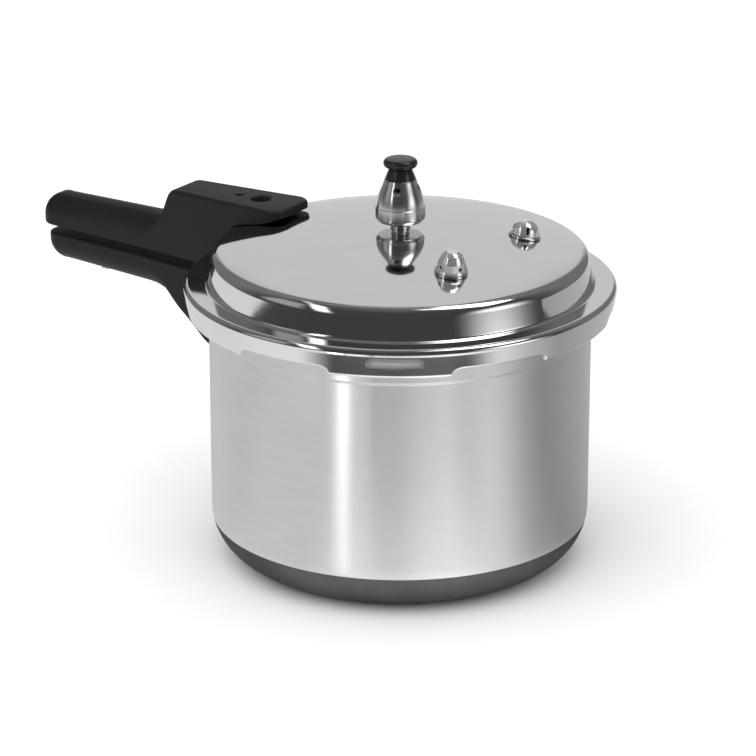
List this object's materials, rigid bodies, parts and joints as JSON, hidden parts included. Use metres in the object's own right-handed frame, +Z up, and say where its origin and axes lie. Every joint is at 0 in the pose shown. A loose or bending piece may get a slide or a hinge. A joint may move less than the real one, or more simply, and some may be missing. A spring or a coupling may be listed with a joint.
{
  "type": "pressure canner",
  "caption": "Stovetop pressure canner with a domed bayonet lid, paired long side handles, a lift-off weight regulator, safety valves and a pressure pin.",
  "frame": {"origin": "centre of the pot's flat underside, on the surface it stands on", "axes": "+Z up along the pot axis; both handles point along -X, so X is the longest direction"},
  "size_m": [0.3762, 0.2484, 0.2375],
  "materials": {
    "pot_aluminium": "polished satin wall with a dull, darker rounded base",
    "lid_aluminium": "mirror polished",
    "rack_aluminium": "matte",
    "chrome": "bright chrome plate",
    "steel": "brushed",
    "handle_black": "matte moulded phenolic",
    "knob_black": "semi-gloss moulded phenolic",
    "silicone": "matte translucent silicone"
  },
  "bodies": {
    "pot": {"pot_body": "pot_aluminium", "pot_bracket": "steel", "pot_bracket_rivets": "steel", "pot_handle": "handle_black", "pot_handle_screws": "steel"},
    "rack": {"canning_rack": "rack_aluminium", "rack_feet": "rack_aluminium"},
    "gasket": {"sealing_gasket": "silicone"},
    "lid": {"lid_shell": "lid_aluminium", "lid_bracket": "steel", "lid_bracket_rivets": "steel", "lid_handle": "handle_black", "lid_handle_screws": "steel", "vent_pipe": "chrome", "vent_washer": "silicone", "vent_nut": "chrome", "relief_seat": "chrome", "relief_washer": "silicone", "relief_nut": "chrome", "relief_cap": "chrome", "relief_spring": "steel", "safety_seat": "chrome", "safety_washer": "silicone", "safety_nut": "chrome", "safety_cap": "chrome", "safety_spring": "steel", "pin_grommet": "silicone"},
    "regulator_carrier": {"regulator_clip": "steel"},
    "regulator": {"regulator_weight": "chrome", "regulator_needle": "steel", "regulator_collar": "knob_black", "regulator_knob": "knob_black"},
    "relief_plug": {"relief_poppet": "steel"},
    "safety_plug": {"safety_poppet": "steel"},
    "indicator": {"pressure_pin": "steel", "pin_clip": "steel"}
  },
  "joints": [
    {"name": "rack_lift", "type": "slide", "parent": "pot", "child": "rack", "axis": [0, 0, 1], "range_m": [0, 0.12]},
    {"name": "lid_lift", "type": "slide", "parent": "pot", "child": "gasket", "axis": [0, 0, 1], "range_m": [0, 0.16]},
    {"name": "lid_turn", "type": "hinge", "parent": "gasket", "child": "lid", "pos_m": [0, 0, 0.1565], "axis": [0, 0, 1], "range_deg": [0, 30]},
    {"name": "regulator_lift", "type": "slide", "parent": "lid", "child": "regulator_carrier", "axis": [0, 0, 1], "range_m": [0, 0.03]},
    {"name": "regulator_spin", "type": "hinge", "parent": "regulator_carrier", "child": "regulator", "pos_m": [0, 0, 0.214], "axis": [0, 0, 1], "continuous": true},
    {"name": "relief_poppet_lift", "type": "slide", "parent": "lid", "child": "relief_plug", "axis": [0.1338, -0.0902, 0.9869], "range_m": [0, 0.0025], "stiffness_N_per_m": 2000, "deforming": ["relief_spring"]},
    {"name": "safety_poppet_lift", "type": "slide", "parent": "lid", "child": "safety_plug", "axis": [0.1338, 0.0902, 0.9869], "range_m": [0, 0.0018], "stiffness_N_per_m": 3000, "deforming": ["safety_spring"]},
    {"name": "pressure_pin_rise", "type": "slide", "parent": "lid", "child": "indicator", "axis": [0, 0, 1], "range_m": [0, 0.0045]}
  ]
}
